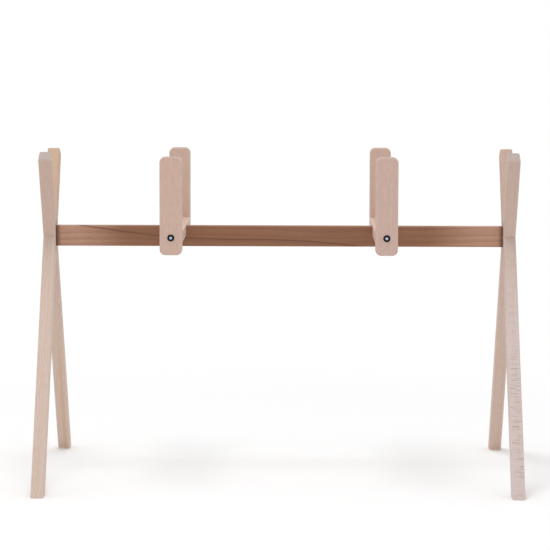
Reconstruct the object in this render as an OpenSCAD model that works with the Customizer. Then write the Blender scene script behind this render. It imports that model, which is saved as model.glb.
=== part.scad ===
// Moses basket stand: two crossed leg frames, a centre rail between them, two cross bars lapped
// over the rail, and four side posts, each of which swivels on the one bolt that holds it.
// Millimetres, +Z up. The origin is on the floor below the middle of the stand, the length of the
// stand runs along X, and its front faces -Y.

/* [Stand] */
// Length over the outer faces of the two leg frames
stand_length = 872; // [760:2:980]
// Height of the crossing of the leg boards above the floor
cross_height = 442; // [380:1:520]
// Radius of the eased edges of the rail, the bars and the posts
edge_round = 2.5; // [1:0.25:4]

/* [Leg boards] */
// Thickness of a leg board, along the stand
leg_thick = 23; // [18:0.5:30]
// Width of a leg board
leg_width = 30; // [26:1:44]
// Lean of a leg board from the vertical, in degrees
leg_lean = 29.8; // [24:0.1:36]
// Length of a leg board from the crossing to its top end
arm_length = 175; // [120:1:240]
// Radius of the eased edges of a leg board
leg_round = 3.5; // [1:0.25:5]

/* [Centre rail] */
// Height of the rail
rail_height = 38; // [34:1:50]
// Thickness of the rail
rail_thick = 20; // [18:0.5:30]
// Depth of the two notches in the top of the rail
rail_notch = 10; // [8:0.5:13]

/* [Cross bars] */
// Distance between the centre lines of the two bars
bar_spacing = 384; // [300:2:480]
// Length of a bar, from the back of a front post to the back of a rear post
bar_length = 320; // [260:2:400]
// Width of a bar
bar_width = 40; // [30:1:60]
// Thickness of a bar
bar_thick = 22; // [20:0.5:30]
// Height of the top of a bar above the top of the rail
bar_rise = 3; // [0:0.5:6]

/* [Side posts] */
// Height of a post
post_height = 175; // [120:1:240]
// Width of a post
post_width = 40; // [30:1:60]
// Thickness of a post
post_thick = 20; // [14:0.5:28]
// Radius of the four corners of a post
post_round = 10; // [5:0.5:14]
// Height of the bolt above the bottom end of a post
post_drop = 31; // [18:1:45]

/* [Bolts] */
// Diameter of the bolts
bolt_d = 6; // [5:0.5:7]
// Diameter of a bolt head
head_d = 12.5; // [11:0.5:14]
// Height of a bolt head
head_height = 3.3; // [2.6:0.1:4.5]
// Height of the straight rim below the dome of a bolt head
head_rim = 0.5; // [0.2:0.1:1]
// Diameter of the flat on top of the dome
head_flat = 7; // [6.6:0.1:8]
// Width across the flats of the hexagon socket
socket_width = 5; // [3:0.5:5.5]
// Depth of the hexagon socket
socket_depth = 2.2; // [1:0.1:2.4]
// How far the tip of a bolt runs past the nut that it holds in
bolt_past_nut = 3; // [1:0.5:5]
// Depth of a rail bolt's head below the outer face of the leg frame
rail_head_sink = 0.2; // [0:0.1:2]
// Depth of a bar bolt's head below the underside of the rail
bar_head_sink = 3.7; // [0:0.1:6]

/* [Nuts] */
// Diameter of a barrel nut
barrel_d = 10; // [9:0.5:12]
// Length of a barrel nut
barrel_length = 12; // [10:0.5:14]
// Width of the screwdriver slot in a barrel nut
slot_width = 1.2; // [0.8:0.1:2]
// Depth of the screwdriver slot in a barrel nut
slot_depth = 1.5; // [0.8:0.1:2]
// Distance of a post's barrel nut from the end of its bar
post_nut_inset = 32; // [20:1:60]
// Distance of a rail's barrel nut from the end of the rail
rail_nut_inset = 35; // [32:1:60]
// Outer diameter of an insert nut
insert_d = 10; // [9:0.5:13]
// Wood left over an insert nut
insert_cover = 3.5; // [2:0.5:5]

/* [Dowels] */
// Diameter of a dowel
dowel_d = 8; // [6:0.5:9]
// Distance between the two dowels at an end of the rail
dowel_pitch = 22; // [20:0.5:24]
// Length of a dowel inside the rail
dowel_in_rail = 22; // [15:1:24]
// Wood left behind a dowel in the half-lapped leg
dowel_cover = 2.5; // [1.5:0.5:4]

/* [Clearances] */
// Radial running clearance between a post and its bolt
swivel_clearance = 0.05; // [0.02:0.01:0.1]
// Radial clearance of a bolt in the wood that it fastens
bolt_clearance = 0.25; // [0.1:0.05:0.5]
// Radial clearance of a bolt in its nut, in place of the thread
thread_clearance = 0.05; // [0.02:0.01:0.1]
// Radial clearance of dowels, barrel nuts and insert nuts in their holes
seat_clearance = 0.1; // [0.05:0.05:0.3]
// Radial clearance of a bolt head in its counterbore
head_clearance = 0.5; // [0.2:0.1:1]
// Side clearance of a board in the notch that it is lapped into
lap_clearance = 0.1; // [0.05:0.05:0.3]
// Extra depth of a blind hole past the piece in it
blind_extra = 0.5; // [0.2:0.1:1]

/* [Hidden] */
$fn = 64;

// Cuts reach past the face that they open, and a shank reaches into its head, by this much
overcut = 1;

// Half of a board's thickness, where two leg boards are halved into each other
leg_half = leg_thick / 2;
frame_x = stand_length / 2 - leg_half;
// Length of a leg board below the crossing, with enough to cut the foot level
leg_reach = (cross_height + leg_width) / cos(leg_lean);

// Rail and bars
rail_length = stand_length - 2 * leg_thick;
rail_top = cross_height + rail_height / 2;
rail_bottom = cross_height - rail_height / 2;
lap_z = rail_top - rail_notch;
bar_top = rail_top + bar_rise;
bar_bottom = bar_top - bar_thick;
bar_x = bar_spacing / 2;

// Posts, whose bolts run along the middle of the bar's thickness
post_bolt_z = bar_top - bar_thick / 2;
post_middle_z = post_bolt_z - post_drop + post_height / 2;
post_middle_y = (bar_length + post_thick) / 2;
post_face_y = bar_length / 2 + post_thick;
post_nut_y = bar_length / 2 - post_nut_inset;

// Radii of the round pieces and of the holes that take them
bolt_r = bolt_d / 2;
head_r = head_d / 2;
flat_r = head_flat / 2;
bolt_hole_r = bolt_r + bolt_clearance;
thread_r = bolt_r + thread_clearance;
swivel_r = bolt_r + swivel_clearance;
head_hole_r = head_r + head_clearance;
barrel_r = barrel_d / 2;
barrel_hole_r = barrel_r + seat_clearance;
insert_r = insert_d / 2;
insert_hole_r = insert_r + seat_clearance;
dowel_r = dowel_d / 2;
dowel_hole_r = dowel_r + seat_clearance;

// Sphere of a head's dome, through the top of its rim and the edge of its flat
dome_drop = (pow(head_r, 2) - pow(flat_r, 2) + pow(head_rim, 2) - pow(head_height, 2))
            / (2 * (head_height - head_rim));
dome_r = norm([head_r, head_rim + dome_drop]);

// Seats of the bolt heads and lengths of the bolts below the head
rail_head_recess = head_height + rail_head_sink;
rail_head_x = stand_length / 2 - rail_head_recess;
rail_nut_x = rail_length / 2 - rail_nut_inset;
rail_bolt_length = rail_head_x - rail_nut_x + barrel_r + bolt_past_nut;
post_bolt_length = post_thick + post_nut_inset + barrel_r + bolt_past_nut;
bar_head_z = rail_bottom + head_height + bar_head_sink;
insert_length = bar_top - lap_z - insert_cover - blind_extra;
bar_bolt_length = lap_z + insert_length - bar_head_z;

// Dowels, from the half-lapped leg into the rail
dowel_in_leg = leg_half - dowel_cover - blind_extra;
dowel_length = dowel_in_leg + dowel_in_rail;
dowel_middle_x = rail_length / 2 + (dowel_in_leg - dowel_in_rail) / 2;

// Colours, pale beech with a warmer rail, dark bolts and bright nuts
leg_colour = [0.82, 0.74, 0.69];
rail_colour = [0.64, 0.49, 0.41];
bar_colour = [0.76, 0.65, 0.58];
post_colour = [0.79, 0.67, 0.61];
dowel_colour = [0.84, 0.74, 0.62];
bolt_colour = [0.17, 0.19, 0.22];
nut_colour = [0.72, 0.73, 0.75];

// Rectangle about the origin with round corners
module rounded_rect(width, height, radius) {
    square([width - 2 * radius, height], center = true);
    square([width, height - 2 * radius], center = true);
    for (x = [-1, 1], y = [-1, 1])
        translate([x * (width / 2 - radius), y * (height / 2 - radius)])
            circle(radius);
}

// Bars of one section about the origin, along each of the three axes
module along_x(length, width, height, radius)
    rotate([90, 0, 90])
        linear_extrude(length, center = true)
            rounded_rect(width, height, radius);

module along_y(length, width, height, radius)
    rotate([90, 0, 0])
        linear_extrude(length, center = true)
            rounded_rect(width, height, radius);

module along_z(length, width, height, radius)
    linear_extrude(length, center = true)
        rounded_rect(width, height, radius);

// Board about the origin with every edge eased, and its own radius at the corners seen along Y
module eased_board(size, radius, corner)
    intersection() {
        along_x(size.x, size.y, size.z, radius);
        along_y(size.y, size.x, size.z, corner);
        along_z(size.z, size.x, size.y, radius);
    }

// Round holes along an axis, from a start point
module hole_x(from, length, radius)
    translate(from) rotate([0, 90, 0]) cylinder(h = length, r = radius);

module hole_y(from, length, radius)
    translate(from) rotate([-90, 0, 0]) cylinder(h = length, r = radius);

module hole_z(from, length, radius)
    translate(from) cylinder(h = length, r = radius);

// Everything on the right is drawn there, and the left is its mirror image
module on_side(side)
    if (side < 0) mirror([1, 0, 0]) children();
    else children();

// The front is drawn at -Y, and the rear is its mirror image
module on_end(end)
    if (end > 0) mirror([0, 1, 0]) children();
    else children();

// Leg board of the right frame before its joint is cut, with a level foot and an eased top
module leg_blank(tilt)
    difference() {
        translate([frame_x, 0, cross_height])
            rotate([tilt, 0, 0])
                translate([0, 0, (arm_length - leg_reach) / 2])
                    eased_board([leg_thick, leg_width, arm_length + leg_reach], leg_round, leg_round);
        translate([frame_x, 0, -leg_reach / 2])
            cube([2 * leg_thick, 4 * leg_reach, leg_reach], center = true);
    }

// Half of the thickness of the board that crosses a leg, on the inner or the outer side
module lap_cut(tilt, outward)
    translate([frame_x, 0, cross_height])
        rotate([tilt, 0, 0])
            translate([outward * leg_half, 0, 0])
                cube([leg_thick, leg_width + 2 * lap_clearance, 4 * leg_width], center = true);

// Hole for the rail bolt, through both boards of the right frame
module rail_bolt_hole()
    hole_x([frame_x - leg_thick, 0, cross_height], 2 * leg_thick, bolt_hole_r);

// Board from the front foot to the rear top, which keeps its outer half at the crossing
module front_leg(side)
    color(leg_colour) on_side(side)
        difference() {
            leg_blank(-leg_lean);
            lap_cut(leg_lean, -1);
            rail_bolt_hole();
            hole_x([rail_head_x, 0, cross_height], rail_head_recess + overcut, head_hole_r);
        }

// Board from the rear foot to the front top, which keeps its inner half at the crossing
module rear_leg(side)
    color(leg_colour) on_side(side)
        difference() {
            leg_blank(leg_lean);
            lap_cut(-leg_lean, 1);
            rail_bolt_hole();
            for (rise = [-1, 1])
                hole_x([rail_length / 2 - overcut, 0, cross_height + rise * dowel_pitch / 2],
                       dowel_in_leg + blind_extra + overcut, dowel_hole_r);
        }

// Cuts at the right end of the rail: bolt and dowel holes, and the barrel nut's hole from behind
module rail_end_cuts() {
    bolt_hole_depth = rail_nut_inset + barrel_r + bolt_past_nut + blind_extra;
    hole_x([rail_length / 2 - bolt_hole_depth, 0, cross_height], bolt_hole_depth + overcut, bolt_hole_r);
    for (rise = [-1, 1])
        hole_x([rail_length / 2 - dowel_in_rail - blind_extra, 0, cross_height + rise * dowel_pitch / 2],
               dowel_in_rail + blind_extra + overcut, dowel_hole_r);
    hole_y([rail_nut_x, -barrel_length / 2 - blind_extra, cross_height],
           barrel_length / 2 + blind_extra + rail_thick / 2 + overcut, barrel_hole_r);
}

// Cuts where the right bar crosses the rail: the notch, and the bolt hole from below
module rail_bar_cuts() {
    translate([bar_x, 0, rail_top])
        cube([bar_width + 2 * lap_clearance, 2 * rail_thick, 2 * rail_notch], center = true);
    hole_z([bar_x, 0, rail_bottom - overcut], rail_height, bolt_hole_r);
    hole_z([bar_x, 0, rail_bottom - overcut], bar_head_z - rail_bottom + overcut, head_hole_r);
}

module centre_rail()
    color(rail_colour)
        difference() {
            translate([0, 0, cross_height])
                along_x(rail_length, rail_thick, rail_height, edge_round);
            for (side = [-1, 1])
                on_side(side) {
                    rail_end_cuts();
                    rail_bar_cuts();
                }
        }

// Cuts at the front end of the right bar: the post's bolt hole, and its barrel nut's from below
module bar_end_cuts() {
    bolt_hole_depth = post_nut_inset + barrel_r + bolt_past_nut + blind_extra;
    hole_y([bar_x, -bar_length / 2 - overcut, post_bolt_z], bolt_hole_depth + overcut, bolt_hole_r);
    hole_z([bar_x, -post_nut_y, bar_bottom - overcut],
           post_bolt_z + barrel_length / 2 + blind_extra - bar_bottom + overcut, barrel_hole_r);
}

module cross_bar(side)
    color(bar_colour) on_side(side)
        difference() {
            translate([bar_x, 0, bar_top - bar_thick / 2])
                along_y(bar_length, bar_width, bar_thick, edge_round);
            translate([bar_x, 0, lap_z - bar_thick / 2])
                cube([2 * bar_width, rail_thick + 2 * lap_clearance, bar_thick], center = true);
            hole_z([bar_x, 0, lap_z - overcut], insert_length + blind_extra + overcut, insert_hole_r);
            for (end = [-1, 1])
                on_end(end) bar_end_cuts();
        }

module side_post(side, end)
    color(post_colour) on_side(side) on_end(end)
        difference() {
            translate([bar_x, -post_middle_y, post_middle_z])
                eased_board([post_width, post_thick, post_height], edge_round, post_round);
            hole_y([bar_x, -post_face_y - overcut, post_bolt_z], post_thick + 2 * overcut, swivel_r);
        }

// Domed head on top of the XY plane
module button_head()
    intersection() {
        cylinder(h = head_height, r = head_r);
        translate([0, 0, -dome_drop]) sphere(dome_r);
    }

// Bolt with its head on top of the XY plane, its shank below it and a hexagon socket in the head
module bolt(length)
    color(bolt_colour)
        difference() {
            union() {
                button_head();
                translate([0, 0, -length]) cylinder(h = length + overcut, r = bolt_r);
            }
            translate([0, 0, head_height - socket_depth])
                cylinder(h = socket_depth + overcut, d = socket_width / cos(30), $fn = 6);
        }

// Barrel nut about the origin, along Z, with its cross hole along Y and a slot in its lower end
module barrel_nut()
    color(nut_colour)
        difference() {
            cylinder(h = barrel_length, r = barrel_r, center = true);
            hole_y([0, -barrel_d, 0], 2 * barrel_d, thread_r);
            translate([0, 0, -barrel_length / 2])
                cube([slot_width, 2 * barrel_d, 2 * slot_depth], center = true);
        }

module post_bolt(side, end)
    on_side(side) on_end(end)
        translate([bar_x, -post_face_y, post_bolt_z])
            rotate([90, 0, 0]) bolt(post_bolt_length);

module post_nut(side, end)
    on_side(side) on_end(end)
        translate([bar_x, -post_nut_y, post_bolt_z]) barrel_nut();

module rail_bolt(side)
    on_side(side)
        translate([rail_head_x, 0, cross_height])
            rotate([0, 90, 0]) bolt(rail_bolt_length);

// The nut's slotted end faces the rear, and its cross hole lies along the rail
module rail_nut(side)
    on_side(side)
        translate([rail_nut_x, 0, cross_height])
            rotate([90, 0, 0]) rotate([0, 0, 90]) barrel_nut();

module rail_dowel(side, rise)
    color(dowel_colour) on_side(side)
        translate([dowel_middle_x, 0, cross_height + rise * dowel_pitch / 2])
            rotate([0, 90, 0]) cylinder(h = dowel_length, r = dowel_r, center = true);

module bar_bolt(side)
    on_side(side)
        translate([bar_x, 0, bar_head_z])
            rotate([180, 0, 0]) bolt(bar_bolt_length);

module bar_insert(side)
    color(nut_colour) on_side(side)
        difference() {
            hole_z([bar_x, 0, lap_z], insert_length, insert_r);
            hole_z([bar_x, 0, lap_z - overcut], insert_length + 2 * overcut, thread_r);
        }

front_leg(-1);  // left_front_leg
rear_leg(-1);  // left_rear_leg
front_leg(1);  // right_front_leg
rear_leg(1);  // right_rear_leg
centre_rail();
cross_bar(-1);  // left_cross_bar
cross_bar(1);  // right_cross_bar
side_post(-1, -1);  // front_left_post
side_post(1, -1);  // front_right_post
side_post(-1, 1);  // rear_left_post
side_post(1, 1);  // rear_right_post
post_bolt(-1, -1);  // front_left_post_bolt
post_bolt(1, -1);  // front_right_post_bolt
post_bolt(-1, 1);  // rear_left_post_bolt
post_bolt(1, 1);  // rear_right_post_bolt
post_nut(-1, -1);  // front_left_post_nut
post_nut(1, -1);  // front_right_post_nut
post_nut(-1, 1);  // rear_left_post_nut
post_nut(1, 1);  // rear_right_post_nut
rail_bolt(-1);  // left_rail_bolt
rail_bolt(1);  // right_rail_bolt
rail_nut(-1);  // left_rail_nut
rail_nut(1);  // right_rail_nut
rail_dowel(-1, 1);  // left_upper_dowel
rail_dowel(-1, -1);  // left_lower_dowel
rail_dowel(1, 1);  // right_upper_dowel
rail_dowel(1, -1);  // right_lower_dowel
bar_bolt(-1);  // left_bar_bolt
bar_bolt(1);  // right_bar_bolt
bar_insert(-1);  // left_bar_insert
bar_insert(1);  // right_bar_insert
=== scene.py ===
"""Looks of the moses basket stand.

Every board, bolt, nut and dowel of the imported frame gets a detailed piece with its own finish,
and a plain white studio stands round them. Lengths are in metres unless a name says otherwise,
+Z is up, the length of the stand runs along X and its front faces -Y.
"""

from __future__ import annotations

import logging
import math
from dataclasses import dataclass, field
from enum import Enum
from typing import Any, Iterable, Mapping, Optional, Sequence, Union

import bmesh
import bpy
from bmesh.types import BMEdge, BMesh, BMVert
from bpy.types import ID, Material, NodeSocket, Object, World
from mathutils import Color, Matrix, Vector


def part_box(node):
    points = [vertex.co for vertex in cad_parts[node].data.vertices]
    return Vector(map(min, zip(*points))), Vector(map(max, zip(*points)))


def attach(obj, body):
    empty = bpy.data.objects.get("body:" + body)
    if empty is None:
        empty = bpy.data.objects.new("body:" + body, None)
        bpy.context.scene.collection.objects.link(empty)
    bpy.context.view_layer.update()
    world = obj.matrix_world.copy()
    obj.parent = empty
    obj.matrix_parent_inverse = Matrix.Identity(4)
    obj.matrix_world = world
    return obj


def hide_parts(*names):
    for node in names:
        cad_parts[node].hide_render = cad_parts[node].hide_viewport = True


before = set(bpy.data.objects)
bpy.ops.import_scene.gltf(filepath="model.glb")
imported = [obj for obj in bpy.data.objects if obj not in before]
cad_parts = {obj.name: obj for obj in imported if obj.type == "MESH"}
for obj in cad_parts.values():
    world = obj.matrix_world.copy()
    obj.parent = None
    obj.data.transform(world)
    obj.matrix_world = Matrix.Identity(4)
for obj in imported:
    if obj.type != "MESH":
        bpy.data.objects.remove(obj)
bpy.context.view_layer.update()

LOG = logging.getLogger("stand")

FRAME_BODY = "stand_frame"
RAIL_NODE = "centre_rail"

MILLIMETRES_A_METRE = 1000.0
# Points closer than this are one point
TINY = 1e-6
# Cutters reach past the face that they open by this much
OVERCUT = 0.001
# Edges that turn by more than this are shaded as sharp
SHARP_TURN = math.radians(38)
HOLE_SEGMENTS = 48
# Highest level of an 8-bit colour
TOP_LEVEL = 255
# Mean of Blender's noise
NOISE_MIDDLE = 0.5

AXIS_X = Vector((1, 0, 0))
AXIS_Y = Vector((0, 1, 0))
AXIS_Z = Vector((0, 0, 1))

Colour = tuple[float, float, float, float]
Operand = Union["Signal", int, float]
Outline = list[tuple[float, float]]


class Named(Enum):
    """Choice that is part of the names of nodes."""

    def __str__(self) -> str:
        """Word in the names of nodes."""
        return self.name.lower()


class Side(Named):
    """End of the stand, by the sign of its X."""

    LEFT = -1
    RIGHT = 1

    @property
    def outward(self) -> Vector:
        """Direction from the middle of the stand to this end."""
        return AXIS_X * self.value


class Face(Named):
    """Long side of the stand, by the sign of its Y."""

    FRONT = -1
    REAR = 1

    @property
    def outward(self) -> Vector:
        """Direction from the middle of the stand to this face."""
        return AXIS_Y * self.value


class Level(Named):
    """Upper or lower one of a pair."""

    UPPER = 1
    LOWER = -1


@dataclass(frozen=True)
class Clearances:
    """Room round the pieces in their holes, on the radius or at a hole's end."""

    bolt: float = 0.00025
    swivel: float = 0.00005
    head: float = 0.0005
    seat: float = 0.0001
    lap: float = 0.0001
    blind: float = 0.0005


ROOM = Clearances()


@dataclass(frozen=True)
class NodeBox:
    """Box of one solid of the frame."""

    low: Vector
    high: Vector

    @classmethod
    def of(cls, node: str) -> NodeBox:
        """Box of the named node."""
        return cls(*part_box(node))

    @property
    def size(self) -> Vector:
        """Length of the box along each axis."""
        return self.high - self.low

    @property
    def middle(self) -> Vector:
        """Centre of the box."""
        return (self.low + self.high) / 2

    def length(self, direction: Vector) -> float:
        """Length of the box in a direction along one of the axes."""
        return abs(self.size.dot(direction))

    def end(self, direction: Vector) -> Vector:
        """Middle of the end that lies in a direction along one of the axes."""
        return self.middle + direction * (self.length(direction) / 2)


@dataclass(frozen=True)
class BoardFrame:
    """Place of a board: a point on its middle line, and its directions."""

    middle: Vector
    across: Vector
    through: Vector
    along: Vector

    def to_board(self) -> Matrix:
        """Rotation from the frame to the board's directions."""
        return Matrix((self.across, self.through, self.along))

    def to_world(self) -> Matrix:
        """Matrix from the board's directions to the frame."""
        return Matrix.Translation(self.middle) @ self.to_board().transposed().to_4x4()


STAND_AXES = BoardFrame(Vector((0, 0, 0)), AXIS_X, AXIS_Y, AXIS_Z)


def srgb(red: int, green: int, blue: int) -> Colour:
    """Opaque linear colour of an 8-bit sRGB colour."""
    shares = [level / TOP_LEVEL for level in (red, green, blue)]
    return (*Color(shares).from_srgb_to_scene_linear(), 1.0)


def grey(level: float) -> Colour:
    """Opaque grey of a linear level."""
    return level, level, level, 1.0


class Signal:
    """Output of a shader graph, which Python operators turn into Math nodes."""

    def __init__(self, graph: ShaderGraph, socket: NodeSocket) -> None:
        """Keep the graph and the socket."""
        self.graph = graph
        self.socket = socket

    def other(self, output: str) -> Signal:
        """Another output of the same node."""
        return Signal(self.graph, self.socket.node.outputs[output])

    def math(self, operation: str, *operands: Operand) -> Signal:
        """Value of a Math node with these inputs."""
        return self.graph.node("ShaderNodeMath", {"operation": operation}, dict(enumerate(operands)))

    def __add__(self, other: Operand) -> Signal:
        """Sum."""
        return self.math("ADD", self, other)

    def __radd__(self, other: Operand) -> Signal:
        """Sum with a number on the left."""
        return self.math("ADD", other, self)

    def __sub__(self, other: Operand) -> Signal:
        """Difference."""
        return self.math("SUBTRACT", self, other)

    def __rsub__(self, other: Operand) -> Signal:
        """Difference with a number on the left."""
        return self.math("SUBTRACT", other, self)

    def __mul__(self, other: Operand) -> Signal:
        """Product."""
        return self.math("MULTIPLY", self, other)

    def __rmul__(self, other: Operand) -> Signal:
        """Product with a number on the left."""
        return self.math("MULTIPLY", other, self)

    def __truediv__(self, other: Operand) -> Signal:
        """Quotient."""
        return self.math("DIVIDE", self, other)

    def __rtruediv__(self, other: Operand) -> Signal:
        """Quotient with a number on the left."""
        return self.math("DIVIDE", other, self)

    def __abs__(self) -> Signal:
        """Size without its sign."""
        return self.math("ABSOLUTE", self)

    def root(self) -> Signal:
        """Square root."""
        return self.math("SQRT", self)

    def sine(self) -> Signal:
        """Sine of an angle."""
        return self.math("SINE", self)

    def fraction(self) -> Signal:
        """Part after the whole number."""
        return self.math("FRACT", self)

    def angle_with(self, other: Signal) -> Signal:
        """Angle of the point whose height is this value and whose reach is the other."""
        return self.math("ARCTAN2", self, other)

    def largest(self, other: Operand) -> Signal:
        """Larger of the two."""
        return self.math("MAXIMUM", self, other)

    def rise(self, low: float, high: float) -> Signal:
        """Smooth step from 0 at the low value to 1 at the high one."""
        inputs = {"Value": self, "From Min": low, "From Max": high}
        return self.graph.node("ShaderNodeMapRange", {"interpolation_type": "SMOOTHSTEP"}, inputs)


class ShaderGraph:
    """Node tree of a material or a world, built up from Python."""

    # Numbers of a Mix node's colour sockets, because its other types have sockets of the same names
    mix_first = 6
    mix_second = 7
    mix_result = 2

    def __init__(self, owner: Union[Material, World]) -> None:
        """Empty a node tree.

        Args:
            owner: Material or world that the tree belongs to.
        """
        owner.use_nodes = True
        self.tree = owner.node_tree
        self.tree.nodes.clear()

    @classmethod
    def of_material(cls, name: str) -> tuple[Material, ShaderGraph]:
        """New material and its empty graph."""
        material = bpy.data.materials.new(name)
        return material, cls(material)

    def node(
        self,
        kind: str,
        settings: Optional[Mapping[str, Any]] = None,
        inputs: Optional[Mapping[Union[str, int], Any]] = None,
        output: Union[str, int] = 0,
    ) -> Signal:
        """Add a node.

        Args:
            kind: Type of the node.
            settings: Its properties, which are set first.
            inputs: Values or links of its sockets, by name or number.
            output: Name or number of the output to return.

        Returns:
            That output.
        """
        made = self.tree.nodes.new(kind)
        for key, value in (settings or {}).items():
            setattr(made, key, value)
        for key, value in (inputs or {}).items():
            if isinstance(value, Signal):
                self.tree.links.new(value.socket, made.inputs[key])
            else:
                made.inputs[key].default_value = value
        return Signal(self, made.outputs[output])

    def finish(self, kind: str, shader: Signal) -> None:
        """Lead a shader to the output node of the given type."""
        sink = self.tree.nodes.new(kind)
        self.tree.links.new(shader.socket, sink.inputs["Surface"])

    def coat(self, inputs: Mapping[str, Any]) -> None:
        """End a material's graph in the usual shader with these inputs."""
        self.finish("ShaderNodeOutputMaterial", self.node("ShaderNodeBsdfPrincipled", inputs=inputs))

    def place_on(self, board: BoardFrame) -> Signal:
        """Place on the surface, in a board's directions.

        Args:
            board: Place of the board.

        Returns:
            The place in millimetres from the board's middle.
        """
        turn = board.to_board()
        inputs = {
            "Vector": self.node("ShaderNodeTexCoord", output="Object"),
            "Location": -(turn @ board.middle) * MILLIMETRES_A_METRE,
            "Rotation": turn.to_euler("XYZ"),
            "Scale": Vector((1, 1, 1)) * MILLIMETRES_A_METRE,
        }
        return self.node("ShaderNodeMapping", inputs=inputs)

    def facing(self, direction: Vector) -> Signal:
        """How squarely the surface faces in a direction, from -1 to 1."""
        inputs = {0: self.node("ShaderNodeTexCoord", output="Normal"), 1: direction}
        return self.node("ShaderNodeVectorMath", {"operation": "DOT_PRODUCT"}, inputs, "Value")

    def join(self, x: Operand, y: Operand, z: Operand) -> Signal:
        """Vector of three values."""
        return self.node("ShaderNodeCombineXYZ", inputs={"X": x, "Y": y, "Z": z})

    def split(self, vector: Signal) -> tuple[Signal, Signal, Signal]:
        """Three values of a vector."""
        x = self.node("ShaderNodeSeparateXYZ", inputs={"Vector": vector})
        return x, x.other("Y"), x.other("Z")

    def noise(self, vector: Signal, detail: float) -> Signal:
        """Smooth noise about 0, of one cell a unit, between about -0.5 and 0.5."""
        inputs = {"Vector": vector, "Scale": 1.0, "Detail": detail}
        return self.node("ShaderNodeTexNoise", inputs=inputs) - NOISE_MIDDLE

    def drift(self, value: Signal) -> Signal:
        """Smooth noise about 0 along a line."""
        inputs = {"W": value, "Scale": 1.0, "Detail": 1.0}
        return self.node("ShaderNodeTexNoise", {"noise_dimensions": "1D"}, inputs) - NOISE_MIDDLE

    def mix(self, share: Operand, first: Any, second: Any) -> Signal:
        """Colour between two colours or links, by the share of the second."""
        inputs = {0: share, self.mix_first: first, self.mix_second: second}
        return self.node("ShaderNodeMix", {"data_type": "RGBA"}, inputs, self.mix_result)

    def shade(self, colour: Signal, level: Signal) -> Signal:
        """Colour made lighter or darker by a level about 1."""
        inputs = {0: colour, "Scale": level}
        return self.node("ShaderNodeVectorMath", {"operation": "SCALE"}, inputs)

    def bump(self, height: Signal, strength: float, depth: float) -> Signal:
        """Normal of a surface with relief of a height, as strong and as deep as given."""
        inputs = {"Strength": strength, "Distance": depth, "Height": height}
        return self.node("ShaderNodeBump", inputs=inputs)

    def seen_directly(self) -> Signal:
        """One for what the camera sees, also in mirrors and through glass."""
        camera = self.node("ShaderNodeLightPath", output="Is Camera Ray")
        return camera.largest(camera.other("Is Glossy Ray")).largest(camera.other("Is Transmission Ray"))


@dataclass(frozen=True)
class Cloud:
    """Noise in a board's wood, with its size in millimetres across and along the grain.

    The seed shifts it along one of the board's directions: 0 across, 1 through or 2 along.
    """

    across: float
    along: float
    detail: float = 2.0
    seed_axis: int = 0


@dataclass(frozen=True)
class Spot:
    """Place in a board's wood, in millimetres across the board, through it and along the grain."""

    graph: ShaderGraph
    seed: float
    u: Signal
    v: Signal
    w: Signal

    def cloud(self, cloud: Cloud) -> Signal:
        """Value of a cloud at the place.

        Args:
            cloud: The noise.

        Returns:
            Its value, between about -0.5 and 0.5.
        """
        cells = [self.u / cloud.across, self.v / cloud.across, self.w / cloud.along]
        cells[cloud.seed_axis] += self.seed
        return self.graph.noise(self.graph.join(*cells), cloud.detail)


@dataclass(frozen=True)
class Streak:
    """Warm streak along a board, in millimetres from the board's middle line."""

    colour: Colour
    middle: float
    half_width: float
    span: tuple[float, float]
    share: float
    waver: float = 4.0

    def strength(self, spot: Spot, tone: Signal) -> Signal:
        """Strength of the streak at a place, which wavers with the tone of the wood."""
        beside = abs(spot.u + tone * self.waver - self.middle).rise(0.0, self.half_width)
        return (1 - beside) * spot.w.rise(*self.span) * self.share


@dataclass(frozen=True)
class Vein:
    """Dark line that waves along a board while it crosses its face, in millimetres."""

    colour: Colour
    middle: float
    slope: float
    wave: float
    wave_length: float
    wave_start: float
    half_width: float
    share: float
    waver: float = 3.0

    def strength(self, spot: Spot, tone: Signal) -> Signal:
        """Strength of the line at a place.

        Args:
            spot: Place in the wood.
            tone: Tone of the wood there, with which the line wavers.

        Returns:
            The strength, from 0 to 1.
        """
        wave = ((spot.w - self.wave_start) * (math.tau / self.wave_length)).sine() * self.wave
        line = wave + spot.w * self.slope + self.middle
        beside = abs(spot.v + tone * self.waver - line).rise(0.0, self.half_width)
        return (1 - beside) * self.share


def weigh(base: float, weights: Mapping[str, float], marks: Mapping[str, Signal]) -> Signal:
    """Base value plus each mark times its weight."""
    return sum((marks[name] * weight for name, weight in weights.items()), base)


# Slow changes of tone, fibres, mottle, bands along the grain and waves in the rings
TONE = Cloud(30.0, 260.0)
FIBRE = Cloud(0.5, 22.0, seed_axis=1)
MOTTLE = Cloud(3.0, 12.0)
BANDS = Cloud(3.2, 340.0, detail=1.0)
RING_WAVES = Cloud(15.0, 150.0, seed_axis=2)

# What each mark of the wood adds to its lightness, its roughness and its relief
# The arris's added lightness is a painted highlight along the edges; its lower roughness is rubbed wear
WOOD_LIGHT = {"fibre": 0.12, "mottle": 0.2, "bands": 0.1, "arris": 0.06, "late_ends": -0.1}
WOOD_ROUGH = {"fibre": 0.2, "rays": -0.08, "arris": -0.06, "ends": 0.12}
WOOD_RELIEF = {"fibre": 0.7, "late": -0.25, "rays": -0.2}


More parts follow.
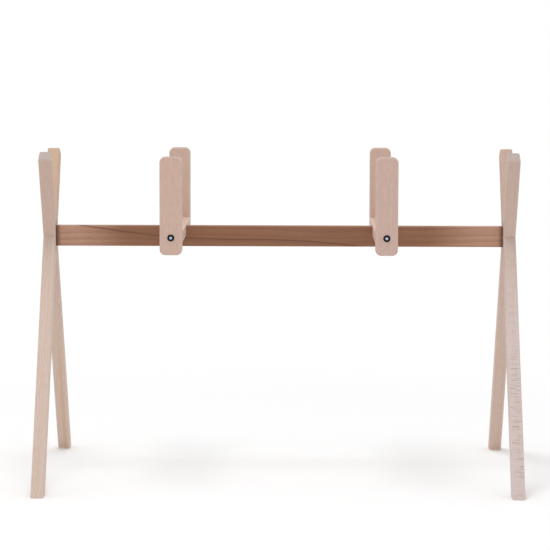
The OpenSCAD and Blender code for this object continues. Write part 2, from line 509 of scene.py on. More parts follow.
@dataclass(frozen=True)
class Beech:
    """Planed and sanded beech of one board.

    Lengths are in millimetres. The pith is the middle of the log that the board was sawn from,
    given across the board and through it. The colour turns from pale to warm along the turning range,
    which counts from the middle towards both ends where the board turns both ways; on the rail that
    darker, browner middle is painted shade.
    """

    name: str
    pale: Colour
    warm: Colour
    late: Colour
    pith: tuple[float, float]
    seed: float
    turning: Optional[tuple[float, float]] = None
    both_ways: bool = False
    unturned: float = 0.5
    tone_share: float = 0.8
    figure: Optional[Union[Streak, Vein]] = None
    sway: float = 16.0
    sway_length: float = 210.0
    ring_width: float = 2.3
    ring_share: float = 0.22
    ring_wave: float = 2.4
    ring_uneven: float = 2.2
    uneven_length: float = 8.0
    late_start: float = 0.35
    late_peak: float = 0.92
    ray_colour: Colour = srgb(160, 124, 104)
    ray_share: float = 0.25
    ray_size: tuple[float, float, float] = (9.0, 0.7, 3.4)
    ray_outline: tuple[float, float] = (0.2, 0.46)
    ray_rarity: float = 0.35
    rarity_blend: float = 0.15
    zone_size: tuple[float, float] = (20.0, 90.0)
    zone_share: float = 0.8
    ray_span: Optional[tuple[float, float]] = None
    ray_rest: float = 0.4
    ray_fade: float = 40.0
    end_facing: tuple[float, float] = (0.6, 0.92)
    end_colour: Colour = srgb(174, 160, 156)
    end_share: float = 0.85
    # Painted shade: darker colour towards the board's ends, where they meet other boards
    end_stain: float = 0.0
    stain_colour: Colour = srgb(84, 56, 42)
    stain_reach: float = 6.0
    arris: float = 4.0
    roughness: float = 0.56
    specular: float = 0.32
    relief: float = 0.35
    relief_depth: float = 0.12

    def material(self, board: BoardFrame, size: Vector) -> Material:
        """Make the board's own material.

        Args:
            board: Place of the board.
            size: Size of the board in its own directions.

        Returns:
            The material.
        """
        material, graph = ShaderGraph.of_material(self.name)
        spot = Spot(graph, self.seed, *graph.split(graph.place_on(board)))
        half = size * MILLIMETRES_A_METRE / 2
        marks = self._marks(spot, board, half)
        colour = self._ground(spot)
        layers = [
            (marks["late"] * self.ring_share, self.late),
            (marks["rays"] * self.ray_share, self.ray_colour),
            (marks["ends"] * self.end_share, self.end_colour),
        ]
        # Painted shade: the ends are darkened where the rail meets the legs
        if self.end_stain:
            painted_shade = abs(spot.w).rise(half.z - self.stain_reach, half.z)
            layers.append((painted_shade * self.end_stain, self.stain_colour))
        for share, layer in layers:
            colour = graph.mix(share, colour, layer)
        relief = weigh(0.0, WOOD_RELIEF, marks)
        graph.coat({
            "Base Color": graph.shade(colour, weigh(1.0, WOOD_LIGHT, marks)),
            "Roughness": weigh(self.roughness, WOOD_ROUGH, marks),
            "Specular IOR Level": self.specular,
            "Normal": graph.bump(relief, self.relief, self.relief_depth / MILLIMETRES_A_METRE),
        })
        return material

    def _ground(self, spot: Spot) -> Signal:
        """Colour of the wood between its rings and rays.

        Args:
            spot: Place in the wood.

        Returns:
            The colour, with the board's streak or vein in it.
        """
        tone = spot.cloud(TONE)
        # On the rail, turning both ways from the middle paints shade into its darker, browner middle
        way = abs(spot.w) if self.both_ways else spot.w
        turned = way.rise(*self.turning) if self.turning else self.unturned
        colour = spot.graph.mix(turned + tone * self.tone_share, self.pale, self.warm)
        if self.figure is None:
            return colour
        return spot.graph.mix(self.figure.strength(spot, tone), colour, self.figure.colour)

    def _marks(self, spot: Spot, board: BoardFrame, half: Vector) -> dict[str, Signal]:
        """Marks of the wood.

        Args:
            spot: Place in the wood.
            board: Place of the board.
            half: Half of the board's size in millimetres.

        Returns:
            The strength of each mark, by its name.
        """
        radius, arc = self._log_place(spot)
        late = self._late_wood(spot, radius)
        ends = abs(spot.graph.facing(board.along)).rise(*self.end_facing)
        return {
            "fibre": spot.cloud(FIBRE),
            "mottle": spot.cloud(MOTTLE),
            "bands": spot.cloud(BANDS),
            "late": late,
            "rays": self._rays(spot, radius, arc),
            "arris": self._arris(spot, half),
            "ends": ends,
            "late_ends": late * ends,
        }

    def _log_place(self, spot: Spot) -> tuple[Signal, Signal]:
        """Place in the log that the board was sawn from.

        Args:
            spot: Place in the wood.

        Returns:
            Distance from the log's middle and way round it, in millimetres.
        """
        reach = math.hypot(*self.pith)
        out_u, out_v = [-part / reach for part in self.pith]
        sway = spot.graph.drift(spot.w / self.sway_length + self.seed) * self.sway
        from_u = spot.u - self.pith[0] + sway
        from_v = spot.v - self.pith[1] + sway
        ahead = from_u * out_u + from_v * out_v
        aside = from_v * out_u - from_u * out_v
        radius = (ahead * ahead + aside * aside).root()
        return radius, aside.angle_with(ahead) * reach

    def _late_wood(self, spot: Spot, radius: Signal) -> Signal:
        """Dark line at the end of each year's growth.

        Args:
            spot: Place in the wood.
            radius: Distance from the log's middle.

        Returns:
            The line's strength, from 0 to 1.
        """
        wave = spot.cloud(RING_WAVES) * self.ring_wave
        uneven = spot.graph.drift(radius / self.uneven_length + self.seed) * self.ring_uneven
        year = ((radius + wave + uneven) / self.ring_width).fraction()
        return year.rise(self.late_start, self.late_peak) * (1 - year.rise(self.late_peak, 1.0))

    def _rays(self, spot: Spot, radius: Signal, arc: Signal) -> Signal:
        """Flecks of the wood's rays, which are ribbons from the log's middle outwards.

        Args:
            spot: Place in the wood.
            radius: Distance from the log's middle.
            arc: Way round the log's middle.

        Returns:
            The flecks' strength, from 0 to 1.
        """
        graph = spot.graph
        length, thickness, height = self.ray_size
        cell = graph.join(radius / length, arc / thickness + self.seed, spot.w / height)
        near = graph.node("ShaderNodeTexVoronoi", inputs={"Vector": cell, "Scale": 1.0})
        picked, _, _ = graph.split(near.other("Color"))
        outwards, along = self.zone_size
        zone = graph.noise(graph.join(radius / outwards, self.seed, spot.w / along), 1.0)
        rarity = self.ray_rarity
        chosen = (picked + zone * self.zone_share).rise(rarity, rarity + self.rarity_blend)
        flecks = (1 - near.rise(*self.ray_outline)) * chosen
        if self.ray_span is None:
            return flecks
        low, high = self.ray_span
        within = spot.w.rise(low - self.ray_fade, low) * (1 - spot.w.rise(high, high + self.ray_fade))
        return flecks * (self.ray_rest + within * (1 - self.ray_rest))

    def _arris(self, spot: Spot, half: Vector) -> Signal:
        """Share of an edge that is rubbed smoother and gets a painted highlight, near both a side and a
        face of a board of this half size.
        """
        beside = abs(spot.u).rise(half.x - self.arris, half.x)
        return beside * abs(spot.v).rise(half.y - self.arris, half.y)


@dataclass(frozen=True)
class BlackenedSteel:
    """Glossy blackened steel whose black is worn off in the socket, which is also bright blue-white as a
    painted highlight.
    """

    name: str = "blackened_steel"
    black: Colour = srgb(22, 25, 32)
    # Painted highlight: the socket's bright blue-white steel, as well as its worn-off black
    bare: Colour = srgb(178, 190, 208)
    bare_mark: str = "bare_steel"
    roughness: float = 0.26
    bare_rough: float = 0.06
    mottle_detail: float = 3.0
    mottle_light: float = 0.35
    mottle_rough: float = 0.16
    relief: float = 0.12
    relief_depth: float = 0.00004

    def material(self) -> Material:
        """Make the material.

        Returns:
            The material.
        """
        material, graph = ShaderGraph.of_material(self.name)
        bare = graph.node("ShaderNodeAttribute", {"attribute_name": self.bare_mark}, output="Fac")
        mottle = graph.noise(graph.place_on(STAND_AXES), self.mottle_detail)
        colour = graph.mix(bare, self.black, self.bare)
        graph.coat({
            "Base Color": graph.shade(colour, 1 + mottle * self.mottle_light),
            "Metallic": 1.0,
            "Roughness": self.roughness + mottle * self.mottle_rough + bare * self.bare_rough,
            "Normal": graph.bump(mottle, self.relief, self.relief_depth),
        })
        return material


@dataclass(frozen=True)
class BrightZinc:
    """Zinc plated steel with a faint spangle."""

    name: str = "bright_zinc"
    bright: Colour = srgb(214, 215, 219)
    dull: Colour = srgb(178, 182, 184)
    spangle_scale: float = 0.8
    roughness: float = 0.34
    mottle_detail: float = 3.0
    mottle_rough: float = 0.2
    relief: float = 0.15
    relief_depth: float = 0.00004

    def material(self) -> Material:
        """Make the material.

        Returns:
            The material.
        """
        material, graph = ShaderGraph.of_material(self.name)
        place = graph.place_on(STAND_AXES)
        cell = {"Vector": place, "Scale": self.spangle_scale}
        spangle = graph.node("ShaderNodeTexVoronoi", inputs=cell)
        mottle = graph.noise(place, self.mottle_detail)
        graph.coat({
            "Base Color": graph.mix(spangle, self.bright, self.dull),
            "Metallic": 1.0,
            "Roughness": self.roughness + mottle * self.mottle_rough,
            "Normal": graph.bump(mottle, self.relief, self.relief_depth),
        })
        return material


def in_scene(name: str, data: ID) -> Object:
    """Put a mesh, a lamp or a camera in the scene.

    Args:
        name: Name of its object.
        data: The mesh, lamp or camera.

    Returns:
        The object.
    """
    made = bpy.data.objects.new(name, data)
    bpy.context.scene.collection.objects.link(made)
    return made


def mesh_object(name: str, bm: BMesh) -> Object:
    """Put a mesh in the scene.

    Args:
        name: Name of its object.
        bm: The mesh, which is used up.

    Returns:
        The object.
    """
    mesh = bpy.data.meshes.new(name)
    bm.to_mesh(mesh)
    bm.free()
    return in_scene(name, mesh)


def paint(piece: Object, material: Material) -> None:
    """Give a piece its only material."""
    piece.data.materials.clear()
    piece.data.materials.append(material)


def block(size: Vector, place: Matrix = Matrix.Identity(4)) -> BMesh:
    """Make a box.

    Args:
        size: Size of the box.
        place: Place of its middle, and its turn.

    Returns:
        The box.
    """
    bm = bmesh.new()
    bmesh.ops.create_cube(bm, size=1.0)
    bmesh.ops.scale(bm, vec=size, verts=bm.verts)
    bmesh.ops.transform(bm, matrix=place, verts=bm.verts)
    return bm


def edges_along(bm: BMesh, direction: Vector) -> list[BMEdge]:
    """Edges that run in a direction."""
    runs = [(edge, edge.verts[1].co - edge.verts[0].co) for edge in bm.edges]
    return [edge for edge, run in runs if run.cross(direction).length < TINY]


def edges_at(bm: BMesh, axis: Vector, height: float) -> list[BMEdge]:
    """Edges in the plane across an axis at a height along it."""
    flat = {vert for vert in bm.verts if abs(vert.co.dot(axis) - height) < TINY}
    return [edge for edge in bm.edges if flat.issuperset(edge.verts)]


def rim_at(bm: BMesh, height: float) -> list[BMEdge]:
    """Open edges at a height along Z."""
    return [edge for edge in edges_at(bm, AXIS_Z, height) if edge.is_boundary]


def fill_level(bm: BMesh, height: float) -> None:
    """Fill the flat disc or ring inside the open edges at a height."""
    bmesh.ops.triangle_fill(bm, edges=rim_at(bm, height), use_beauty=True, normal=AXIS_Z)


def cut_off(bm: BMesh, height: float, away: Vector) -> None:
    """Cut off what lies beyond the level plane at a height, in the direction away."""
    everything = [*bm.verts, *bm.edges, *bm.faces]
    bmesh.ops.bisect_plane(bm, geom=everything, plane_co=AXIS_Z * height, plane_no=away, clear_outer=True)


def ease(bm: BMesh, edges: Sequence[BMEdge], radius: float, segments: int) -> None:
    """Round edges over.

    Args:
        bm: Mesh to change.
        edges: Edges to round.
        radius: Radius of the round at a square edge.
        segments: Number of facets in it.
    """
    bmesh.ops.bevel(
        bm, geom=list(edges), offset=radius, offset_type="OFFSET", affect="EDGES",
        segments=segments, profile=0.5, material=-1, clamp_overlap=True,
    )


def lathe(bm: BMesh, outline: Outline, steps: int, turns: int = 1, pitch: float = 0.0) -> None:
    """Turn an open outline round Z.

    Args:
        bm: Mesh to add to.
        outline: Radius and height of each point.
        steps: Number of facets in a turn.
        turns: Number of turns.
        pitch: How far each turn climbs. Without it, the turn closes.
    """
    verts = [bm.verts.new((radius, 0, height)) for radius, height in outline]
    edges = [bm.edges.new(pair) for pair in zip(verts, verts[1:])]
    bmesh.ops.spin(
        bm, geom=[*verts, *edges], cent=(0, 0, 0), axis=AXIS_Z, dvec=AXIS_Z * pitch / steps,
        angle=math.tau * turns, steps=steps * turns, use_merge=not pitch, use_duplicate=False,
    )


def standing(start: Vector, direction: Vector) -> Matrix:
    """Matrix that turns Z to a direction and moves the origin to a start."""
    return Matrix.Translation(start) @ direction.to_track_quat("Z", "Y").to_matrix().to_4x4()


def drill(start: Vector, direction: Vector, length: float, radius: float) -> BMesh:
    """Make a cylinder, mostly to cut with.

    Args:
        start: Middle of its first end.
        direction: Direction of its axis.
        length: Its length.
        radius: Its radius.

    Returns:
        The cylinder.
    """
    bm = bmesh.new()
    bmesh.ops.create_cone(
        bm, cap_ends=True, segments=HOLE_SEGMENTS, radius1=radius, radius2=radius,
        depth=length, matrix=standing(start + direction * length / 2, direction),
    )
    return bm


def carve(bm: BMesh, cutters: Iterable[BMesh]) -> BMesh:
    """Cut solids out of a mesh.

    Args:
        bm: Mesh to cut, which is used up.
        cutters: Closed meshes to take away, which are used up.

    Returns:
        The mesh that is left.
    """
    target = mesh_object("work", bm)
    tools = [mesh_object("cutter", cutter) for cutter in cutters]
    for tool in tools:
        cut = target.modifiers.new("cut", "BOOLEAN")
        cut.operation = "DIFFERENCE"
        cut.solver = "EXACT"
        cut.object = tool
    graph = bpy.context.evaluated_depsgraph_get()
    mesh = bpy.data.meshes.new_from_object(target.evaluated_get(graph))
    result = bmesh.new()
    result.from_mesh(mesh)
    bpy.data.meshes.remove(mesh)
    for used in [target, *tools]:
        bpy.data.meshes.remove(used.data)
    bmesh.ops.remove_doubles(result, verts=result.verts, dist=TINY)
    return result


def bore_for(box: NodeBox, outward: Vector, radius: float, beyond: float) -> BMesh:
    """Hole of a radius for a round piece, which opens outward and runs on beyond the piece's end."""
    start = box.end(-outward) - outward * ROOM.blind
    return drill(start, outward, box.length(outward) + ROOM.blind + beyond, radius)


def bolt_hole(bolt: NodeBox, outward: Vector) -> BMesh:
    """Clearance hole along a whole bolt, whose head faces outward."""
    return bore_for(bolt, outward, ButtonBolt.shank_radius + ROOM.bolt, OVERCUT)


def head_hole(bolt: NodeBox, outward: Vector, sink: float) -> BMesh:
    """Counterbore for a bolt's head.

    Args:
        bolt: Box of the bolt.
        outward: Direction that its head faces.
        sink: Depth of the head below the surface.

    Returns:
        The cylinder that cuts it.
    """
    height = ButtonBolt.head_height
    seat = bolt.end(outward) - outward * height
    return drill(seat, outward, height + sink + OVERCUT, ButtonBolt.head_radius + ROOM.head)


def dowel_holes(side: Side) -> list[BMesh]:
    """Holes for both dowels at one end of the rail, in the boards that they join."""
    boxes = [NodeBox.of(f"{side}_{level}_dowel") for level in Level]
    return [bore_for(box, side.outward, box.size.z / 2 + ROOM.seat, ROOM.blind) for box in boxes]


@dataclass
class Part:
    """One piece of the stand, which takes the place of one node of the frame.

    The piece is named for its node, with the title in place of the node's ending.
    """

    node: str
    made: Optional[Object] = field(default=None, init=False)

    slot = ""
    ending = ""
    title = "_board"

    @property
    def box(self) -> NodeBox:
        """Box of the node."""
        return NodeBox.of(self.node)

    @property
    def body(self) -> str:
        """Body that the piece rides on."""
        return FRAME_BODY

    def shape(self) -> BMesh:
        """Closed mesh of the piece, at its place in the frame."""
        raise NotImplementedError

    def build(self) -> None:
        """Make the piece and give it to the frame."""
        bm = self.shape()
        bmesh.ops.recalc_face_normals(bm, faces=bm.faces)
        for face in bm.faces:
            face.smooth = True
        for edge in bm.edges:
            edge.smooth = edge.calc_face_angle(math.pi) < SHARP_TURN
        self.made = mesh_object(self.node.removesuffix(self.ending) + self.title, bm)
        weighted = self.made.modifiers.new("weighted_normals", "WEIGHTED_NORMAL")
        weighted.keep_sharp = True
        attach(self.made, self.body)
        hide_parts(self.node)
        LOG.info("%s: %d faces, rides on %s", self.made.name, len(self.made.data.polygons), self.body)


@dataclass
class Board(Part):
    """Board along one axis, with rounded long edges and slightly eased ends."""

    finish: Beech
    edge_round: float = 0.0025
    edge_segments: int = 5
    end_round: float = 0.0007
    end_segments: int = 2

    # Directions across the board, through it and along it
    axes = (AXIS_X, AXIS_Y, AXIS_Z)

    def board(self) -> BoardFrame:
        """Place of the board."""
        return BoardFrame(self.box.middle, *self.axes)

    def size(self) -> Vector:
        """Size of the board in its own directions."""
        return Vector([self.box.length(axis) for axis in self.axes])

    def shape(self) -> BMesh:
        """Board with its joints cut."""
        return carve(self._blank(), self._cuts())

    def dress(self) -> None:
        """Give the board its wood."""
        paint(self.made, self.finish.material(self.board(), self.size()))

    def _blank(self) -> BMesh:
        """Shape the board before its joints are cut.

        Returns:
            The board with rounded edges.
        """
        bm = block(self.size())
        ease(bm, edges_along(bm, AXIS_Z), self.edge_round, self.edge_segments)
        self._ease_ends(bm)
        bmesh.ops.transform(bm, matrix=self.board().to_world(), verts=bm.verts)
        return bm

    def _ease_ends(self, bm: BMesh) -> None:
        """Ease both ends of a blank that still lies along Z."""
        for height in (-self.size().z / 2, self.size().z / 2):
            ease(bm, edges_at(bm, AXIS_Z, height), self.end_round, self.end_segments)

    def _cuts(self) -> list[BMesh]:
        """Cuts of the board's joints."""
        return []


@dataclass(kw_only=True)
class LegBoard(Board):
    """Board of a leg frame, with a level foot, halved into the board that crosses it."""

    side: Side
    foot: Face
    width: float = 0.030
    lean: float = math.radians(29.8)
    arm: float = 0.175
    lap_length: float = 0.12
    head_sink: float = 0.0002
    edge_round: float = 0.0035
    end_round: float = 0.0012
    end_segments: int = 3

    slot = "leg_beech"

    def board(self) -> BoardFrame:
        """Place of the board, from the middle of the crossing."""
        return self._leaning(self.foot)

    def size(self) -> Vector:
        """Size of the board before its foot is cut level."""
        reach = (self.board().middle.z + self.width) / math.cos(self.lean)
        return Vector((self.box.size.x, self.width, self.arm + reach))

    def _leaning(self, foot: Face) -> BoardFrame:
        """Place of either board of the leg frame.

        Args:
            foot: Face at which the board has its foot.

        Returns:
            The place, from the middle of the crossing.
        """
        crossing = Vector((self.box.middle.x, 0, NodeBox.of(RAIL_NODE).middle.z))
        turn = Matrix.Rotation(foot.value * self.lean, 3, "X")
        return BoardFrame(crossing, AXIS_X, turn @ AXIS_Y, turn @ AXIS_Z)

    def _blank(self) -> BMesh:
        """Shape the board before its joint is cut.

        Returns:
            The board with a level foot and rounded edges.
        """
        size = self.size()
        bm = block(size)
        bmesh.ops.translate(bm, vec=AXIS_Z * (self.arm - size.z / 2), verts=bm.verts)
        bmesh.ops.transform(bm, matrix=self.board().to_world(), verts=bm.verts)
        cut_off(bm, 0.0, -AXIS_Z)
        bmesh.ops.holes_fill(bm, edges=rim_at(bm, 0.0), sides=0)
        sole = set(edges_at(bm, AXIS_Z, 0.0))
        ease(bm, [edge for edge in bm.edges if edge not in sole], self.edge_round, self.edge_segments)
        ease(bm, edges_at(bm, AXIS_Z, 0.0), self.end_round, self.end_segments)
        return bm

    def _cuts(self) -> list[BMesh]:
        """Cut the board's joint.

        Returns:
            The lap, the bolt's hole, and the hole of the head or those of the dowels.
        """
        bolt = NodeBox.of(f"{self.side}_rail_bolt")
        cuts = [self._lap(), bolt_hole(bolt, self.side.outward)]
        if self.foot is Face.FRONT:
            return [*cuts, head_hole(bolt, self.side.outward, self.head_sink)]
        return [*cuts, *dowel_holes(self.side)]

    def _lap(self) -> BMesh:
        """Cut the room for the other board.

        Returns:
            Half of its thickness, inside for the board with its foot in front.
        """
        thickness = self.box.size.x
        shift = Matrix.Translation(self.side.outward * self.foot.value * thickness / 2)
        size = Vector((thickness, self.width + 2 * ROOM.lap, self.lap_length))
        return block(size, shift @ self._leaning(Face(-self.foot.value)).to_world())


@dataclass
class CentreRail(Board):
    """Long rail between the two crossings, with notches for the cross bars."""

    slot = "rail_beech"
    axes = (AXIS_Y, AXIS_Z, AXIS_X)

    def _cuts(self) -> list[BMesh]:
        """Cut the rail's joints.

        Returns:
            The notches, and the holes for bolts, dowels and barrel nuts.
        """
        cuts = []
        for side in Side:
            nut = NodeBox.of(f"{side}_rail_nut")
            bar_bolt = NodeBox.of(f"{side}_bar_bolt")
            cuts += [
                self._notch(side),
                bolt_hole(NodeBox.of(f"{side}_rail_bolt"), side.outward),
                *dowel_holes(side),
                bore_for(nut, AXIS_Y, nut.size.z / 2 + ROOM.seat, self.box.size.y),
                bolt_hole(bar_bolt, -AXIS_Z),
                head_hole(bar_bolt, -AXIS_Z, bar_bolt.low.z - self.box.low.z),
            ]
        return cuts

    def _notch(self, side: Side) -> BMesh:
        """Notch for one cross bar, down to the plane where bar and rail meet.

        Args:
            side: End of the stand that the bar is at.

        Returns:
            The box that cuts it.
        """
        bar = NodeBox.of(f"{side}_cross_bar")
        bottom = NodeBox.of(f"{side}_bar_insert").low.z
        height = self.box.size.z
        size = Vector((bar.size.x + 2 * ROOM.lap, 2 * self.box.size.y, height))
        return block(size, Matrix.Translation((bar.middle.x, 0, bottom + height / 2)))


@dataclass(kw_only=True)
class CrossBar(Board):
    """Bar across the rail, with a post at each end."""

    side: Side

    slot = "bar_beech"
    axes = (AXIS_Z, AXIS_X, AXIS_Y)

    def _cuts(self) -> list[BMesh]:
        """Cut the bar's joints.

        Returns:
            The notch over the rail, and the holes for the insert nut, bolts and barrel nuts.
        """
        insert = NodeBox.of(f"{self.side}_bar_insert")
        height = self.box.size.z
        size = Vector((2 * self.box.size.x, NodeBox.of(RAIL_NODE).size.y + 2 * ROOM.lap, height))
        cuts = [
            block(size, Matrix.Translation((self.box.middle.x, 0, insert.low.z - height / 2))),
            bore_for(insert, -AXIS_Z, insert.size.x / 2 + ROOM.seat, OVERCUT),
        ]
        for face in Face:
            stem = f"{face}_{self.side}_post"
            nut = NodeBox.of(f"{stem}_nut")
            cuts += [
                bolt_hole(NodeBox.of(f"{stem}_bolt"), face.outward),
                bore_for(nut, -AXIS_Z, nut.size.x / 2 + ROOM.seat, height),
            ]
        return cuts


@dataclass(kw_only=True)
class SidePost(Board):
    """Short board with round corners that swivels on its bolt."""

    side: Side
    face: Face
    corner_round: float = 0.010
    corner_segments: int = 12

    slot = "post_beech"

    @property
    def body(self) -> str:
        """Body of the post."""
        return f"post_{self.face}_{self.side}"

    def _blank(self) -> BMesh:
        """Shape the post before it is bored.

        Returns:
            The post with its corners and edges rounded.
        """
        bm = block(self.size())
        ease(bm, edges_along(bm, AXIS_Y), self.corner_round, self.corner_segments)
        depths = [face.value * self.size().y / 2 for face in Face]
        rims = [edge for depth in depths for edge in edges_at(bm, AXIS_Y, depth)]
        ease(bm, rims, self.edge_round, self.edge_segments)
        bmesh.ops.transform(bm, matrix=self.board().to_world(), verts=bm.verts)
        return bm

    def _cuts(self) -> list[BMesh]:
        """Bore for the bolt."""
        bolt = NodeBox.of(f"{self.node}_bolt")
        return [bore_for(bolt, self.face.outward, ButtonBolt.shank_radius + ROOM.swivel, OVERCUT)]


@dataclass
class FlutedDowel(Board):
    """Dowel with grooves for glue along it and chamfered ends."""

    flutes: int = 12
    points_a_flute: int = 4
    flute_depth: float = 0.0004
    end_round: float = 0.0008

    slot = "dowel_beech"
    ending = "_dowel"
    title = "_peg"
    axes = (AXIS_Y, AXIS_Z, AXIS_X)

    def _blank(self) -> BMesh:
        """Shape the dowel.

        Returns:
            The fluted cylinder.
        """
        _, width, length = self.size()
        radius = width / 2
        bm = bmesh.new()
        ring = bmesh.ops.create_circle(
            bm, cap_ends=True, segments=self.flutes * self.points_a_flute, radius=radius,
            matrix=Matrix.Translation(AXIS_Z * -length / 2),
        )["verts"]
        for vert in ring[:: self.points_a_flute]:
            vert.co.xy *= 1 - self.flute_depth / radius
        made = bmesh.ops.extrude_face_region(bm, geom=list(bm.faces))["geom"]
        far = [item for item in made if isinstance(item, BMVert)]
        bmesh.ops.translate(bm, vec=AXIS_Z * length, verts=far)
        self._ease_ends(bm)
        bmesh.ops.transform(bm, matrix=self.board().to_world(), verts=bm.verts)
        return bm


@dataclass
class Fastener(Part):
    """Piece of metal."""

    metal: Material

    def dress(self) -> None:
        """Give the piece its metal."""
        paint(self.made, self.metal)


@dataclass(frozen=True)
class ScrewThread:
    """Helical ridge round Z."""

    root: float
    crest: float
    pitch: float
    steps: int = 24
    lead_in: float = 1.37

    def add_to(self, bm: BMesh, low: float, high: float) -> None:
        """Add the ridge between two heights, open at both ends, to an empty mesh.

        Args:
            bm: Mesh to add to.
            low: Height of its lower end.
            high: Height of its upper end.
        """
        start = low - self.lead_in * self.pitch
        turns = math.ceil((high - low) / self.pitch + 2 * self.lead_in)
        middle, end = start + self.pitch / 2, start + self.pitch
        outline = [(self.root, start), (self.crest, middle), (self.root, end)]
        lathe(bm, outline, self.steps, turns, self.pitch)
        bmesh.ops.remove_doubles(bm, verts=bm.verts, dist=TINY)
        cut_off(bm, low, -AXIS_Z)
        cut_off(bm, high, AXIS_Z)


@dataclass
class ButtonBolt(Fastener):
    """Bolt with a domed head, a hexagon socket and a thread at its tip."""

    outward: Vector
    shank_radius: float = 0.003
    head_radius: float = 0.00625
    head_height: float = 0.0033
    rim_height: float = 0.0005
    rim_chamfer: float = 0.0002
    seat_gap: float = 0.00005
    flat_radius: float = 0.0035
    socket_sides: int = 6
    socket_width: float = 0.005
    socket_chamfer: float = 0.0004
    socket_depth: float = 0.0022
    socket_point: float = 0.0005
    thread: ScrewThread = ScrewThread(root=0.00246, crest=0.00298, pitch=0.001)
    threaded: float = 0.020
    tip_radius: float = 0.0024
    tip_chamfer: float = 0.0008
    facets: int = 48
    dome_steps: int = 8

    slot = "bolt_steel"
    ending = "_bolt"
    title = "_screw"

    def shape(self) -> BMesh:
        """Shape the bolt with its head on the seat.

        Returns:
            The closed mesh.
        """
        length = self.box.length(self.outward) - self.head_height
        tip = -length + self.tip_chamfer
        neck = -length + self.threaded
        bm = bmesh.new()
        self.thread.add_to(bm, tip, neck)
        lathe(bm, [*self._dome(), *self._shoulder(neck)], self.facets)
        end_radius = self.tip_radius - self.tip_chamfer / 2
        lathe(bm, [(self.tip_radius, tip), (end_radius, -length)], self.facets)
        for height in (neck, tip, -length):
            fill_level(bm, height)
        self._add_socket(bm)
        self._mark_bare(bm)
        seat = self.box.end(self.outward) - self.outward * self.head_height
        bmesh.ops.transform(bm, matrix=standing(seat, self.outward), verts=bm.verts)
        return bm

    def _dome(self) -> Outline:
        """Draw the arc of the dome.

        Returns:
            Its outline, from the edge of its flat down to its rim.
        """
        drop = (
            self.head_radius ** 2 - self.flat_radius ** 2 + self.rim_height ** 2 - self.head_height ** 2
        ) / (2 * (self.head_height - self.rim_height))
        radius = math.hypot(self.head_radius, self.rim_height + drop)
        first = math.atan2(self.head_height + drop, self.flat_radius)
        last = math.atan2(self.rim_height + drop, self.head_radius)
        angles = [first + (last - first) * step / self.dome_steps for step in range(self.dome_steps + 1)]
        return [(radius * math.cos(angle), radius * math.sin(angle) - drop) for angle in angles]

    def _shoulder(self, neck: float) -> Outline:
        """Draw the underside of the head and the plain shank.

        Args:
            neck: Height at which the thread begins.

        Returns:
            The outline, from the rim of the head down to the neck.
        """
        return [
            (self.head_radius, self.rim_chamfer),
            (self.head_radius - self.rim_chamfer, self.seat_gap),
            (self.shank_radius, self.seat_gap),
            (self.shank_radius, neck),
        ]

    def _add_socket(self, bm: BMesh) -> None:
        """Sink a chamfered hexagon into the flat of the dome.

        Args:
            bm: Mesh of the bolt along Z.
        """
        mouth = rim_at(bm, self.head_height)
        top = self.head_height - self.socket_chamfer
        corner = self.socket_width / 2 / math.cos(math.pi / self.socket_sides)
        bmesh.ops.create_circle(
            bm, cap_ends=False, segments=self.socket_sides, radius=corner,
            matrix=Matrix.Translation(AXIS_Z * top),
        )
        sides = [edge for edge in edges_at(bm, AXIS_Z, top) if edge.is_wire]
        bmesh.ops.subdivide_edges(bm, edges=sides, cuts=self.facets // self.socket_sides - 1)
        hexagon = [edge for edge in edges_at(bm, AXIS_Z, top) if edge.is_wire]
        bmesh.ops.bridge_loops(bm, edges=[*mouth, *hexagon])
        wall = bmesh.ops.extrude_edge_only(bm, edges=hexagon)["geom"]
        foot = [item for item in wall if isinstance(item, BMVert)]
        bmesh.ops.translate(bm, vec=AXIS_Z * (self.socket_chamfer - self.socket_depth), verts=foot)
        rim = [item for item in wall if isinstance(item, BMEdge)]
        point = bmesh.ops.extrude_edge_only(bm, edges=rim)["geom"]
        middle = [item for item in point if isinstance(item, BMVert)]
        bottom = self.head_height - self.socket_depth - self.socket_point
        bmesh.ops.pointmerge(bm, verts=middle, merge_co=AXIS_Z * bottom)

    def _mark_bare(self, bm: BMesh) -> None:
        """Mark the faces of the socket, where the black is worn off and a painted highlight is put.

        Args:
            bm: Mesh of the bolt along Z.
        """
        mark = bm.faces.layers.float.new(BlackenedSteel.bare_mark)
        for face in bm.faces:
            middle = face.calc_center_median()
            face[mark] = float(middle.z > 0 and middle.xy.length < self.socket_width / 2)


@dataclass
class BarrelNut(Fastener):
    """Cross-drilled cylinder with a screwdriver slot in its open end."""

    opening: Vector
    thread_axis: Vector
    chamfer: float = 0.0004
    chamfer_segments: int = 2
    thread_radius: float = 0.00305
    slot_width: float = 0.0012
    slot_depth: float = 0.0015

    slot = "nut_steel"
    ending = "_nut"
    title = "_barrel"

    def shape(self) -> BMesh:
        """Shape the nut, with its slot where its hole opens.

        Returns:
            The closed mesh.
        """
        box = self.box
        length = box.length(self.opening)
        bm = drill(box.end(-self.opening), self.opening, length, box.length(self.thread_axis) / 2)
        for end in (self.opening, -self.opening):
            ease(bm, edges_at(bm, end, box.end(end).dot(end)), self.chamfer, self.chamfer_segments)
        below = box.middle - self.thread_axis * length
        bore = drill(below, self.thread_axis, 2 * length, self.thread_radius)
        return carve(bm, [bore, self._slot()])

    def _slot(self) -> BMesh:
        """Cut the slot along the thread, across the open end.

        Returns:
            The box that cuts it.
        """
        across = self.opening.cross(self.thread_axis)
        place = BoardFrame(self.box.end(self.opening), across, self.opening, across.cross(self.opening))
        size = Vector((self.slot_width, 2 * self.slot_depth, 2 * self.box.length(self.thread_axis)))
        return block(size, place.to_world())


